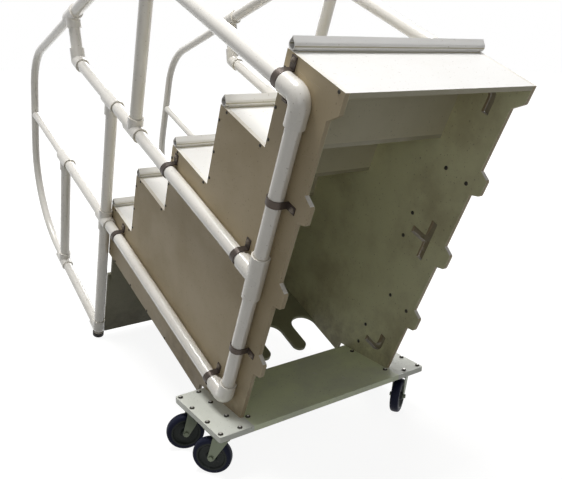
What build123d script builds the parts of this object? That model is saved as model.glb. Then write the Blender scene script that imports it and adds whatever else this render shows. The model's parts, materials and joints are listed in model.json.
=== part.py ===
from build123d import *
import math
import os

# Portable pool stairs standing tilted back on a flat cart plate with four swivel casters.
# The stairs are drawn upright first: X across, Y forward from the rear edge of the top tread,
# Z up from the top tread. They are then tilted back about X and set down on the floor.
# All sizes are in millimetres.

# Stairs of sheet plastic
STAIR_WIDTH = 635.0          # over the outer faces of the side panels
PANEL_THICKNESS = 12.7
SHEET_THICKNESS = 12.7       # treads, risers and the plates below them
RISE = 247.0
TREAD_PITCH = 231.0
TOP_TREAD_DEPTH = 224.0
BOTTOM_TREAD_DEPTH = 192.0   # the lowest tread is cut short beside the front posts
STEP_COUNT = 5
PANEL_BOTTOM_DROP = 1229.0   # from the top tread down to the lower edge of the panels

# Rolled nosing along each tread, a teardrop with its point up
NOSE_RADIUS = 12.0
NOSE_HEIGHT = 31.0
NOSE_LEAN = 3.0              # the point stands this far forward of the roll's centre
NOSE_WALL = 2.5

# Ears along the rear edge of each side panel
EAR_DEPTH = 33.0
EAR_HEIGHT = 79.0
EAR_PITCH = 267.0
EAR_COUNT = 4
EAR_SLOPE = 14.0             # drop of the slanted side over the ear's depth
EAR_ROUNDING = 9.0

# Bottom plate with slots open to the rear
FINGER_COUNT = 3
FINGER_WIDTH = 57.0
FINGER_START = 330.0         # distance forward of the fingers' round ends
SLOT_END = 495.0             # distance forward of the slots' round ends

# Plates between the front posts
KICK_PLATE_DROP = 1375.0     # lower edge of the upper plate
TOE_PLATE_DROP = 1682.0      # lower edge of the lower plate
PLATE_LAP = 30.0             # overlap of the two

# Pipes and pipe fittings
PIPE_RADIUS = 21.1
PIPE_WALL = 3.6
THIN_PIPE_RADIUS = 16.7
FITTING_RADIUS = 26.5
PIPE_STANDOFF = 2.7          # between a pipe and the panel it lies along
FITTING_GAP = 0.3            # round a fitting, and behind its back where a panel trims it flat
RELIEF_MARGIN = 3.0          # of the panels' cut-outs, round the fittings on the rear posts
RELIEF_ROUNDING = 8.0
REAR_POST_Y = 104.0
SECOND_POST_Y = 912.0
FRONT_POST_Y = 1111.0
SHORT_POST_REACH = 462.0     # from the front post forward to the short post
GRAB_RAIL_REACH = 435.0      # from the short post forward to the bent rail's front run
TOP_RAIL_Z = -57.0
MID_RAIL_Z = -562.0
BOTTOM_RAIL_Z = -1056.0
FOOT_RAIL_Z = -1655.0        # at the front post
FOOT_RAIL_CLIMB = 5.5        # degrees
HANDRAIL_SLOPE = 37.3        # degrees below the horizontal
TOP_BEND_Y = 1049.0          # where the top rail turns down into the sloping handrail
MID_BEND_Y = 1452.0          # where the mid rail turns up to meet the handrail
HANDRAIL_TEE_REACH = 72.0    # from that turn forward to the tee in the handrail
ELBOW_BEND = 30.0            # bend radius of a square elbow's centre line, nearly sharp inside
REAR_SOCKET = 70.0           # from a rear corner to the mouth of its fitting
SOCKET = 45.0                # from a junction to the mouth of any other fitting
TOP_GRAB_BEND = 280.0
LOWER_GRAB_BEND = 382.0

# Rubber caps under the front posts
CAP_RADIUS = 24.5
CAP_HEIGHT = 19.0
CAP_BOTTOM = 6.0
CAP_CHAMFER = 2.0
CAP_DROP = 1701.0            # from the top tread down to the underside of the caps

# Steel straps that hold the pipes to the panels
STRAP_WIDTH = 20.0
STRAP_THICKNESS = 3.0
STRAP_EAR = 54.0             # from the pipe's centre to the ear's end
STRAP_GAP = 0.1
TOP_STRAP = 85.0             # forward of the rear corner, on the top rail
CORNER_STRAP = 94.0          # the same on the two rails below
UPPER_POST_STRAP_Z = -324.0
LOWER_POST_STRAP_Z = -827.0
NOSING_STRAP = 36.0          # behind the third nosing, on the mid rail
FRONT_STRAP = 126.0          # behind the front post, on the bottom rail

# Cart
TILT = 22.0                  # degrees that the stairs lean back
CART_LENGTH = 854.0
CART_WIDTH = 300.0
CART_THICKNESS = 19.0
CART_REAR_Y = 374.0          # rear edge of the cart behind the tilted top tread's rear edge
CART_CORNER = 6.0
HEEL_Y = 283.0               # front wall of the panel's notch over the cart

# Casters
CASTER_HEIGHT = 157.0
CASTER_INSET_X = 46.0
CASTER_INSET_Y = 58.0
CASTER_TRAIL = 38.0
CASTER_PLATE_X = 90.0
CASTER_PLATE_Y = 105.0
CASTER_PLATE_THICKNESS = 4.0
RACE_RADIUS = 27.0
LOWER_RACE_RADIUS = 25.0
RACE_HEIGHT = 6.5
RACE_GAP = 0.5
WHEEL_RADIUS = 63.5
TYRE_WIDTH = 32.0
TYRE_DEPTH = 14.0
TYRE_SHOULDER = 8.0          # the rounded shoulder's depth below the crown
HUB_WIDTH = 39.0
HUB_WEB = 10.0
HUB_BOSS_RADIUS = 15.0
HUB_RIM = 5.0
FORK_GAP = 40.0              # between the legs
FORK_LEG = 3.0
FORK_CROWN = 4.0
FORK_CROWN_CLEAR = 7.0       # over the wheel
FORK_TOP_FRONT = 24.0        # leg's top corner ahead of the swivel axis
FORK_TOP_REAR = 30.0         # and behind it, on the wheel's side
FORK_FOOT_RADIUS = 11.0
AXLE_RADIUS = 5.0
KINGPIN_RADIUS = 6.0
BEARING_GAP = 0.05
BOLT_HEAD_RADIUS = 8.5
BOLT_HEAD_HEIGHT = 6.0

INNER_WIDTH = STAIR_WIDTH - 2 * PANEL_THICKNESS
PIPE_X = STAIR_WIDTH / 2 + PIPE_STANDOFF + PIPE_RADIUS
SIN = math.sin(math.radians(TILT))
COS = math.cos(math.radians(TILT))


def nose_y(step):
    """Distance forward of a tread's front edge; step 1 is the top tread."""
    if step == STEP_COUNT:
        return nose_y(step - 1) + BOTTOM_TREAD_DEPTH
    return TOP_TREAD_DEPTH + (step - 1) * TREAD_PITCH


def tread_z(step):
    """Height of a tread's upper face, zero at the top tread."""
    return -(step - 1) * RISE


# The caps' lowest rim sets the height of the tilted stairs over the floor.
CAP_RIM = min((FRONT_POST_Y - CAP_RADIUS) * SIN - (CAP_DROP - CAP_CHAMFER) * COS,
              (FRONT_POST_Y - CAP_RADIUS + CAP_CHAMFER) * SIN - CAP_DROP * COS)
LIFT = -CAP_RIM
CART_TOP = CASTER_HEIGHT + CART_THICKNESS


def cart_line(y):
    """Height, on the upright stairs, of the cart's upper face at a distance forward."""
    return (CART_TOP - LIFT - y * SIN) / COS


def tilt_back(shape):
    """Lean the upright stairs back and raise them until the caps touch the floor."""
    return Pos(0, 0, LIFT) * (Rot(TILT, 0, 0) * shape)


def across(face, start, length):
    """Extrude a profile drawn as (forward, up) sideways from x = start."""
    return extrude(Plane.YZ.offset(start) * face, amount=length)


def centred(face, length):
    """Extrude a (forward, up) profile over a length centred on the middle."""
    return across(face, -length / 2, length)


def block(y0, y1, z0, z1):
    """Rectangle in the (forward, up) plane from its corners."""
    return Pos((y0 + y1) / 2, (z0 + z1) / 2) * Rectangle(y1 - y0, z1 - z0)


def both_sides(shape):
    """A piece of the right side and its mirror image on the left."""
    return [shape, mirror(shape, about=Plane.YZ)]


# Side panels

def ear(top):
    """One ear of a panel's rear edge: slanted above, rounded below, out to y = 0."""
    outline = make_face(Polyline((EAR_DEPTH + 1, top), (EAR_DEPTH, top), (0, top - EAR_SLOPE),
                                 (0, top - EAR_HEIGHT + EAR_SLOPE), (EAR_DEPTH, top - EAR_HEIGHT),
                                 (EAR_DEPTH + 1, top - EAR_HEIGHT), close=True))
    corners = outline.vertices().group_by(Axis.X)[0]
    return fillet(corners, EAR_ROUNDING)


def top_ear():
    """The uppermost ear, which is square with the top tread."""
    outline = make_face(Polyline((0, 0), (EAR_DEPTH + 1, 0), (EAR_DEPTH + 1, -EAR_HEIGHT),
                                 (EAR_DEPTH, -EAR_HEIGHT), (0, -EAR_HEIGHT + 2 * EAR_SLOPE),
                                 close=True))
    corner = outline.vertices().group_by(Axis.X)[0].sort_by(Axis.Y)[0]
    return fillet(corner, EAR_ROUNDING)


def reliefs():
    """Cut-outs of a side panel, which let the backs of the three rear fittings sink in."""
    half = FITTING_RADIUS + RELIEF_MARGIN
    reach = REAR_SOCKET + RELIEF_MARGIN
    rear = REAR_POST_Y - half
    cuts = []
    for z, down, up in ((TOP_RAIL_Z, reach, half), (MID_RAIL_Z, reach, reach),
                        (BOTTOM_RAIL_Z, half, reach)):
        outline = block(rear, REAR_POST_Y + reach, z - half, z + half)
        outline += block(rear, REAR_POST_Y + half, z - down, z + up)
        cuts.append(fillet(outline.vertices(), RELIEF_ROUNDING))
    return cuts


def side_panel_face():
    """Outline of a side panel: the steps in front, ears behind, and the seat on the cart."""
    steps = [(EAR_DEPTH, 0)]
    for step in range(1, STEP_COUNT + 1):
        steps.append((nose_y(step), tread_z(step)))
        lower = tread_z(step + 1) if step < STEP_COUNT else -PANEL_BOTTOM_DROP
        steps.append((nose_y(step), lower))
    steps += [(HEEL_Y, -PANEL_BOTTOM_DROP), (HEEL_Y, cart_line(HEEL_Y)),
              (EAR_DEPTH, cart_line(EAR_DEPTH))]
    face = make_face(Polyline(*steps, close=True))
    heel = face.vertices().sort_by_distance((HEEL_Y, -PANEL_BOTTOM_DROP))[0]
    face = fillet(heel, EAR_ROUNDING)
    face += top_ear()
    for number in range(1, EAR_COUNT):
        face += ear(-number * EAR_PITCH)
    for cut in reliefs():
        face -= cut
    return face


def side_panel(side):
    """Left (side = -1) or right (side = 1) panel."""
    inner = INNER_WIDTH / 2
    start = inner if side > 0 else -inner - PANEL_THICKNESS
    return across(side_panel_face(), start, PANEL_THICKNESS)


# Treads, risers and plates

def teardrop():
    """Teardrop outline: a circle and the two tangents from the point above it."""
    rise = NOSE_HEIGHT - NOSE_RADIUS
    reach = math.hypot(NOSE_LEAN, rise)
    middle = math.degrees(math.atan2(rise, NOSE_LEAN))
    spread = math.degrees(math.acos(NOSE_RADIUS / reach))

    def on_circle(angle):
        turn = math.radians(angle)
        return (NOSE_RADIUS * math.cos(turn), NOSE_RADIUS * math.sin(turn))

    front, rear = on_circle(middle - spread), on_circle(middle + spread)
    arc = ThreePointArc(rear, on_circle(middle + 180), front)
    point = (NOSE_LEAN, rise)
    return make_face(Curve() + [arc, Line(front, point), Line(point, rear)])


def tread(step):
    """Flat slab between the panels with a hollow rolled nosing over the whole width.

    The roll stands on a flat foot as wide as itself, so nothing overhangs the open tread.
    """
    rear = 0 if step == 1 else nose_y(step - 1) - SHEET_THICKNESS
    front, top = nose_y(step), tread_z(step)
    slab = centred(block(rear, front, top - SHEET_THICKNESS, top), INNER_WIDTH)
    roll = teardrop() - scale(teardrop(), by=1 - NOSE_WALL / NOSE_RADIUS)
    nose = centred(Pos(front - NOSE_RADIUS, top + NOSE_RADIUS) * roll, STAIR_WIDTH)
    foot = centred(block(front - 2 * NOSE_RADIUS, front, top, top + NOSE_WALL), INNER_WIDTH)
    return slab + (nose + foot)


def riser(step):
    """Upright sheet from the underside of a tread down to the next tread."""
    front = nose_y(step)
    return centred(block(front - SHEET_THICKNESS, front,
                         tread_z(step + 1), tread_z(step) - SHEET_THICKNESS), INNER_WIDTH)


TOE_PLATE_Y = FRONT_POST_Y - SHEET_THICKNESS / 2
KICK_PLATE_Y = TOE_PLATE_Y - SHEET_THICKNESS


def kick_plate():
    """Sheet below the lowest tread, behind the toe plate."""
    return centred(block(KICK_PLATE_Y, TOE_PLATE_Y, -KICK_PLATE_DROP,
                         tread_z(STEP_COUNT) - SHEET_THICKNESS), INNER_WIDTH)


def toe_plate():
    """Sheet between the front posts, down to just above the floor."""
    width = 2 * (PIPE_X - max(CAP_RADIUS, FITTING_RADIUS) - FITTING_GAP)
    return centred(block(TOE_PLATE_Y, TOE_PLATE_Y + SHEET_THICKNESS,
                         -TOE_PLATE_DROP, -KICK_PLATE_DROP + PLATE_LAP), width)


def bottom_plate():
    """Level sheet at the foot of the panels; its rear edge is cut into round fingers."""
    slot = (INNER_WIDTH - FINGER_COUNT * FINGER_WIDTH) / (FINGER_COUNT + 1)
    face = Pos(0, (SLOT_END - slot / 2 + KICK_PLATE_Y) / 2) * Rectangle(
        INNER_WIDTH, KICK_PLATE_Y - SLOT_END + slot / 2)
    for number in range(FINGER_COUNT + 1):
        x = -INNER_WIDTH / 2 + slot / 2 + number * (slot + FINGER_WIDTH)
        face -= Pos(x, SLOT_END - slot / 2) * Circle(slot / 2)
    length = SLOT_END - FINGER_START
    for number in range(FINGER_COUNT):
        x = (number - (FINGER_COUNT - 1) / 2) * (slot + FINGER_WIDTH)
        finger = Pos(x, FINGER_START + length / 2) * SlotOverall(length, FINGER_WIDTH, rotation=90)
        finger += Pos(x, SLOT_END - length / 4 - slot / 4) * Rectangle(
            FINGER_WIDTH, length / 2 - slot / 2)
        face += finger
    return extrude(Plane.XY.offset(-PANEL_BOTTOM_DROP) * face, amount=SHEET_THICKNESS)


# Pipe frames. All of them lie in the plane x = PIPE_X and are mirrored to the left.

def at(y, z):
    return Vector(PIPE_X, y, z)


def along(point, angle, distance):
    """Point reached from another in the frame's plane; angle in degrees above forward."""
    turn = math.radians(angle)
    return point + Vector(0, math.cos(turn), math.sin(turn)) * distance


def rod(start, end, radius):
    """Solid cylinder between two points."""
    way = end - start
    return extrude(Plane(origin=start, z_dir=way.normalized()) * Circle(radius), amount=way.length)


def pipe(start, end, radius=PIPE_RADIUS):
    """Straight hollow pipe between two fitting mouths."""
    return rod(start, end, radius) - rod(start, end, radius - PIPE_WALL)


def fitting(centre, arms):
    """Bend, tee or cross: one closed arm (angle, reach) in each direction from the centre."""
    body = Pos(*centre) * Sphere(FITTING_RADIUS)
    for angle, reach in arms:
        body += rod(centre, along(centre, angle, reach), FITTING_RADIUS)
    return body


def elbow(start, corner, end):
    """Square elbow from mouth to mouth round a corner."""
    path = FilletPolyline(start, corner, end, radius=ELBOW_BEND)
    return sweep(Plane(origin=path @ 0, z_dir=path % 0) * Circle(FITTING_RADIUS), path=path)


def beside_panel(piece):
    """A fitting whose back is trimmed flat to clear the side panel behind it."""
    return split(piece, bisect_by=Plane.YZ.offset(STAIR_WIDTH / 2 + FITTING_GAP), keep=Keep.TOP)


TOP_REAR = at(REAR_POST_Y, TOP_RAIL_Z)
MID_REAR = at(REAR_POST_Y, MID_RAIL_Z)
BOTTOM_REAR = at(REAR_POST_Y, BOTTOM_RAIL_Z)
SECOND_TOP = at(SECOND_POST_Y, TOP_RAIL_Z)
SECOND_MID = at(SECOND_POST_Y, MID_RAIL_Z)
FRONT_MID = at(FRONT_POST_Y, MID_RAIL_Z)
FRONT_BOTTOM = at(FRONT_POST_Y, BOTTOM_RAIL_Z)
FRONT_FOOT = at(FRONT_POST_Y, FOOT_RAIL_Z)
TOP_BEND = at(TOP_BEND_Y, TOP_RAIL_Z)
MID_BEND = at(MID_BEND_Y, MID_RAIL_Z)
SHORT_POST_Y = FRONT_POST_Y + SHORT_POST_REACH
SHORT_TOP = at(SHORT_POST_Y, BOTTOM_RAIL_Z)
SLOPE = math.tan(math.radians(HANDRAIL_SLOPE))
CLIMB = math.tan(math.radians(FOOT_RAIL_CLIMB))
HANDRAIL_TEE_Y = MID_BEND_Y + HANDRAIL_TEE_REACH
HANDRAIL_TEE = at(HANDRAIL_TEE_Y, TOP_RAIL_Z - (HANDRAIL_TEE_Y - TOP_BEND_Y) * SLOPE)
SHORT_FOOT = at(SHORT_POST_Y, FOOT_RAIL_Z + SHORT_POST_REACH * CLIMB)
GRAB_RAIL_Y = SHORT_POST_Y + GRAB_RAIL_REACH
GRAB_TOP = at(GRAB_RAIL_Y, TOP_RAIL_Z - (GRAB_RAIL_Y - TOP_BEND_Y) * SLOPE)
GRAB_FOOT = at(GRAB_RAIL_Y, FOOT_RAIL_Z + (GRAB_RAIL_Y - FRONT_POST_Y) * CLIMB)
GRAB_JOINT = at(GRAB_RAIL_Y, BOTTOM_RAIL_Z)
MID_RISE = math.degrees(math.atan2(HANDRAIL_TEE.Z - MID_BEND.Z, HANDRAIL_TEE.Y - MID_BEND.Y))


def fittings():
    """Elbows and tees of one side."""
    cross = fitting(FRONT_BOTTOM, [(0, SOCKET), (180, SOCKET), (90, SOCKET), (-90, SOCKET)])
    return [
        elbow(along(TOP_REAR, 0, REAR_SOCKET), TOP_REAR, along(TOP_REAR, -90, REAR_SOCKET)),
        elbow(along(BOTTOM_REAR, 0, REAR_SOCKET), BOTTOM_REAR,
              along(BOTTOM_REAR, 90, REAR_SOCKET)),
        fitting(MID_REAR, [(90, REAR_SOCKET), (-90, REAR_SOCKET), (0, REAR_SOCKET)]),
        beside_panel(cross),
        fitting(SECOND_TOP, [(0, SOCKET), (180, SOCKET), (-90, SOCKET)]),
        fitting(SECOND_MID, [(0, SOCKET), (180, SOCKET), (90, SOCKET)]),
        fitting(FRONT_MID, [(0, SOCKET), (180, SOCKET), (-90, SOCKET)]),
        fitting(FRONT_FOOT, [(90, SOCKET), (FOOT_RAIL_CLIMB, SOCKET)]),
        fitting(TOP_BEND, [(180, SOCKET), (-HANDRAIL_SLOPE, SOCKET)]),
        fitting(MID_BEND, [(180, SOCKET), (MID_RISE, SOCKET)]),
        fitting(HANDRAIL_TEE, [(180 - HANDRAIL_SLOPE, SOCKET), (-HANDRAIL_SLOPE, SOCKET),
                               (MID_RISE - 180, SOCKET)]),
        fitting(SHORT_TOP, [(0, SOCKET), (180, SOCKET), (-90, SOCKET)]),
        fitting(SHORT_FOOT, [(90, SOCKET), (FOOT_RAIL_CLIMB, SOCKET),
                             (180 + FOOT_RAIL_CLIMB, SOCKET)]),
    ]


def grab_rail():
    """Thin bent rail from the handrail's tee, down in front and back to the foot rail."""
    path = FilletPolyline(along(HANDRAIL_TEE, -HANDRAIL_SLOPE, SOCKET), GRAB_TOP, GRAB_FOOT,
                          along(SHORT_FOOT, FOOT_RAIL_CLIMB, SOCKET),
                          radius=[TOP_GRAB_BEND, LOWER_GRAB_BEND])
    return sweep(Plane(origin=path @ 0, z_dir=path % 0) * Circle(THIN_PIPE_RADIUS), path=path)


def between(start, end, angle, first=SOCKET, last=SOCKET):
    """Pipe from the mouth of one fitting to the mouth of the next."""
    return pipe(along(start, angle, first), along(end, angle + 180, last))


def rear_posts():
    return [between(TOP_REAR, MID_REAR, -90, first=REAR_SOCKET, last=REAR_SOCKET),
            between(MID_REAR, BOTTOM_REAR, -90, first=REAR_SOCKET, last=REAR_SOCKET)]


def top_rails():
    return [between(TOP_REAR, SECOND_TOP, 0, first=REAR_SOCKET),
            between(SECOND_TOP, TOP_BEND, 0)]


def mid_rails():
    return [between(MID_REAR, SECOND_MID, 0, first=REAR_SOCKET),
            between(SECOND_MID, FRONT_MID, 0),
            between(FRONT_MID, MID_BEND, 0),
            between(MID_BEND, HANDRAIL_TEE, MID_RISE)]


def bottom_rails():
    thin_end = GRAB_JOINT - Vector(0, THIN_PIPE_RADIUS + FITTING_GAP, 0)
    return [between(BOTTOM_REAR, FRONT_BOTTOM, 0, first=REAR_SOCKET),
            between(FRONT_BOTTOM, SHORT_TOP, 0),
            pipe(along(SHORT_TOP, 0, SOCKET), thin_end, THIN_PIPE_RADIUS)]


def front_posts():
    foot_end = at(FRONT_POST_Y, -CAP_DROP + CAP_BOTTOM)
    below = FRONT_FOOT - Vector(0, 0, FITTING_RADIUS)
    return [between(FRONT_MID, FRONT_BOTTOM, -90), between(FRONT_BOTTOM, FRONT_FOOT, -90),
            rod(below, foot_end, PIPE_RADIUS) - (Pos(*FRONT_FOOT) * Sphere(FITTING_RADIUS))]


PIPES = {
    "rear_posts": rear_posts,
    "top_rails": top_rails,
    "mid_rails": mid_rails,
    "bottom_rails": bottom_rails,
    "second_posts": lambda: [between(SECOND_TOP, SECOND_MID, -90)],
    "front_posts": front_posts,
    "sloping_handrails": lambda: [between(TOP_BEND, HANDRAIL_TEE, -HANDRAIL_SLOPE)],
    "short_posts": lambda: [between(SHORT_TOP, SHORT_FOOT, -90)],
    "foot_rails": lambda: [between(FRONT_FOOT, SHORT_FOOT, FOOT_RAIL_CLIMB)],
    "grab_rails": lambda: [grab_rail()],
}


def foot_cap():
    """Rubber cap pushed over the lower end of a front post."""
    base = at(FRONT_POST_Y, -CAP_DROP)
    body = rod(base, base + Vector(0, 0, CAP_HEIGHT), CAP_RADIUS)
    body = chamfer(body.edges().group_by(Axis.Z)[0], CAP_CHAMFER)
    socket_floor = base + Vector(0, 0, CAP_BOTTOM)
    body -= rod(socket_floor, base + Vector(0, 0, CAP_HEIGHT + 1), PIPE_RADIUS + STRAP_GAP)
    return body


# Straps: (forward, up, turned) for a pipe that runs forward (0) or up (1)
STRAPS = [
    (REAR_POST_Y + TOP_STRAP, TOP_RAIL_Z, 0),
    (REAR_POST_Y, UPPER_POST_STRAP_Z, 1),
    (REAR_POST_Y + CORNER_STRAP, MID_RAIL_Z, 0),
    (nose_y(3) - NOSING_STRAP, MID_RAIL_Z, 0),
    (REAR_POST_Y, LOWER_POST_STRAP_Z, 1),
    (REAR_POST_Y + CORNER_STRAP, BOTTOM_RAIL_Z, 0),
    (FRONT_POST_Y - FRONT_STRAP, BOTTOM_RAIL_Z, 0),
]


def strap():
    """Steel strap over a pipe along X, its ears flat on the panel, built about the origin.

    Local Z points away from the panel, whose face lies at z = -(PIPE_RADIUS + PIPE_STANDOFF).
    """
    floor = -(PIPE_RADIUS + PIPE_STANDOFF)
    bore = PIPE_RADIUS + STRAP_GAP
    outer = bore + STRAP_THICKNESS
    band = Circle(outer) + Pos(0, floor / 2) * Rectangle(2 * outer, -floor)
    ears = Pos(0, floor + STRAP_THICKNESS / 2) * Rectangle(2 * STRAP_EAR, STRAP_THICKNESS)
    hollow = Circle(bore) + Pos(0, floor) * Rectangle(2 * bore, -2 * floor)
    below = Pos(0, floor - outer) * Rectangle(4 * STRAP_EAR, 2 * outer)
    face = band + ears - hollow - below
    return extrude(Plane.YZ.offset(-STRAP_WIDTH / 2) * face, amount=STRAP_WIDTH)


def straps():
    """All straps of the right side."""
    made = []
    for y, z, upright in STRAPS:
        outward = Plane(origin=at(y, z), x_dir=(0, 1 - upright, upright), z_dir=(1, 0, 0))
        made.append(outward * strap())
    return made


# Cart and casters, drawn level with z = 0 at the floor

def cart_plate():
    """Flat plate that the panels stand on."""
    centre = (0, CART_REAR_Y + CART_WIDTH / 2)
    face = Pos(*centre) * RectangleRounded(CART_LENGTH, CART_WIDTH, CART_CORNER)
    return extrude(Plane.XY.offset(CASTER_HEIGHT) * face, amount=CART_THICKNESS)


# Casters: (name, side, row, heading); the heading is the way the wheel trails,
# in degrees from the side that the caster is on, turned towards the front.
CASTERS = [
    ("rear_left", -1, 0, 44),
    ("rear_right", 1, 0, -148),
    ("front_left", -1, 1, 19),
    ("front_right", 1, 1, 19),
]


def caster_place(side, row, heading):
    """Frame at a caster's swivel axis on the floor, with X the way the wheel trails."""
    x = side * (CART_LENGTH / 2 - CASTER_INSET_X)
    y = CART_REAR_Y + CASTER_INSET_Y + row * (CART_WIDTH - 2 * CASTER_INSET_Y)
    turn = heading if side > 0 else 180 - heading
    return Location((x, y, 0), (0, 0, turn))


RACE_TOP = CASTER_HEIGHT - CASTER_PLATE_THICKNESS
RACE_BOTTOM = RACE_TOP - RACE_HEIGHT
CROWN_BOTTOM = 2 * WHEEL_RADIUS + FORK_CROWN_CLEAR
CROWN_TOP = CROWN_BOTTOM + FORK_CROWN


def caster_plate():
    """Fixed top plate and upper race, with the bore for the kingpin."""
    plate = extrude(Plane.XY.offset(RACE_TOP) * Rectangle(CASTER_PLATE_X, CASTER_PLATE_Y),
                    amount=CASTER_PLATE_THICKNESS)
    race = extrude(Plane.XY.offset(RACE_BOTTOM) * Circle(RACE_RADIUS), amount=RACE_HEIGHT)
    bore = extrude(Plane.XY.offset(RACE_BOTTOM) * Circle(KINGPIN_RADIUS + BEARING_GAP),
                   amount=RACE_HEIGHT + CASTER_PLATE_THICKNESS / 2)
    return plate + race - bore


def fork():
    """Swivel fork: crown, lower race and kingpin, and two legs down to the axle."""
    half = FORK_GAP / 2 + FORK_LEG
    crown_length = FORK_TOP_FRONT + FORK_TOP_REAR
    crown = Plane.XY.offset(CROWN_BOTTOM) * (
        Pos((FORK_TOP_REAR - FORK_TOP_FRONT) / 2, 0) * Rectangle(crown_length, 2 * half))
    body = extrude(crown, amount=FORK_CROWN)
    race_height = RACE_BOTTOM - RACE_GAP - CROWN_TOP
    body += extrude(Plane.XY.offset(CROWN_TOP) * Circle(LOWER_RACE_RADIUS), amount=race_height)
    body += extrude(Plane.XY.offset(CROWN_TOP) * Circle(KINGPIN_RADIUS),
                    amount=RACE_TOP - CROWN_TOP)
    foot = Pos(CASTER_TRAIL, WHEEL_RADIUS) * Circle(FORK_FOOT_RADIUS)
    blade_top = Polyline((-FORK_TOP_FRONT, CROWN_TOP), (FORK_TOP_REAR, CROWN_TOP))
    blade = make_hull(foot.edges() + blade_top.edges())
    blade -= Pos(CASTER_TRAIL, WHEEL_RADIUS) * Circle(AXLE_RADIUS + BEARING_GAP)
    for start in (-half, FORK_GAP / 2):
        body += extrude(Plane.XZ.offset(-start - FORK_LEG) * blade, amount=FORK_LEG)
    return body


def turned(half_profile):
    """Revolve a profile about the wheel's axle, which lies along Y.

    The profile is a list of (radius, distance from the wheel's middle) on one side;
    its mirror image closes it on the other.
    """
    other = [(radius, -out) for radius, out in reversed(half_profile)]
    face = make_face(Polyline(*half_profile, *other, close=True))
    return Pos(CASTER_TRAIL, 0, WHEEL_RADIUS) * revolve(Plane.XY * face, axis=Axis.Y)


def tyre():
    """Tyre with round shoulders, bonded to the hub's rim."""
    half = TYRE_WIDTH / 2
    return turned([(WHEEL_RADIUS - TYRE_DEPTH, half), (WHEEL_RADIUS - TYRE_SHOULDER, half),
                   (WHEEL_RADIUS - TYRE_SHOULDER / 4, half - TYRE_SHOULDER / 2),
                   (WHEEL_RADIUS, half - TYRE_SHOULDER)])


def hub():
    """Dished hub of a wheel, bored for the axle: boss, thin middle and thick rim."""
    rim = WHEEL_RADIUS - TYRE_DEPTH
    middle = (HUB_BOSS_RADIUS + rim - HUB_RIM) / 2
    return turned([(AXLE_RADIUS + BEARING_GAP, HUB_WIDTH / 2), (HUB_BOSS_RADIUS, HUB_WIDTH / 2),
                   (middle, HUB_WEB / 2), (rim - HUB_RIM, TYRE_WIDTH / 2),
                   (rim, TYRE_WIDTH / 2)])


def axle():
    """Axle bolt through both legs, with its head and nut."""
    half = FORK_GAP / 2 + FORK_LEG
    centre = Vector(CASTER_TRAIL, 0, WHEEL_RADIUS)
    outward = Vector(0, 1, 0)
    body = rod(centre - outward * half, centre + outward * half, AXLE_RADIUS)
    for sign in (-1, 1):
        start = centre + outward * (sign * half)
        head = Plane(origin=start, z_dir=outward * sign) * RegularPolygon(BOLT_HEAD_RADIUS, 6)
        body += extrude(head, amount=BOLT_HEAD_HEIGHT)
    return body


# Assembly

def build():
    """All nodes by name, each a list of solids, standing on the floor."""
    stairs = {"side_panel_left": [side_panel(-1)], "side_panel_right": [side_panel(1)]}
    for step in range(1, STEP_COUNT + 1):
        stairs[f"tread_{step}"] = [tread(step)]
    for step in range(1, STEP_COUNT):
        stairs[f"riser_{step}"] = [riser(step)]
    stairs["kick_plate"] = [kick_plate()]
    stairs["toe_plate"] = [toe_plate()]
    stairs["bottom_plate"] = [bottom_plate()]
    for name, make in PIPES.items():
        stairs[name] = [piece for half in make() for piece in both_sides(half)]
    right_fittings = fittings()
    stairs["pipe_fittings_right"] = right_fittings
    stairs["pipe_fittings_left"] = [mirror(piece, about=Plane.YZ) for piece in right_fittings]
    right_straps = straps()
    stairs["pipe_straps_right"] = right_straps
    stairs["pipe_straps_left"] = [mirror(piece, about=Plane.YZ) for piece in right_straps]
    stairs["foot_caps"] = both_sides(foot_cap())
    nodes = {name: [tilt_back(piece) for piece in pieces] for name, pieces in stairs.items()}

    nodes["cart_plate"] = [cart_plate()]
    nodes["caster_plates"] = []
    for name, side, row, heading in CASTERS:
        place = caster_place(side, row, heading)
        nodes["caster_plates"].append(Pos(*place.position) * caster_plate())
        nodes[f"caster_fork_{name}"] = [place * fork()]
        nodes[f"caster_axle_{name}"] = [place * axle()]
        nodes[f"wheel_hub_{name}"] = [place * hub()]
        nodes[f"wheel_tyre_{name}"] = [place * tyre()]
    return nodes


def main():
    os.makedirs("parts", exist_ok=True)
    nodes = build()
    box = Compound([piece for pieces in nodes.values() for piece in pieces]).bounding_box()
    centring = Pos(-(box.min.X + box.max.X) / 2, -(box.min.Y + box.max.Y) / 2, -box.min.Z)
    for name, pieces in nodes.items():
        placed = [centring * piece for piece in pieces]
        shape = placed[0] if len(placed) == 1 else Compound(placed)
        export_step(shape, f"parts/{name}.step")
    print("box", box.min, box.max, "lift", round(LIFT, 2))


main()
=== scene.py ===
import json
import math

import bpy
import numpy as np
from mathutils import Matrix, Vector


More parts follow.
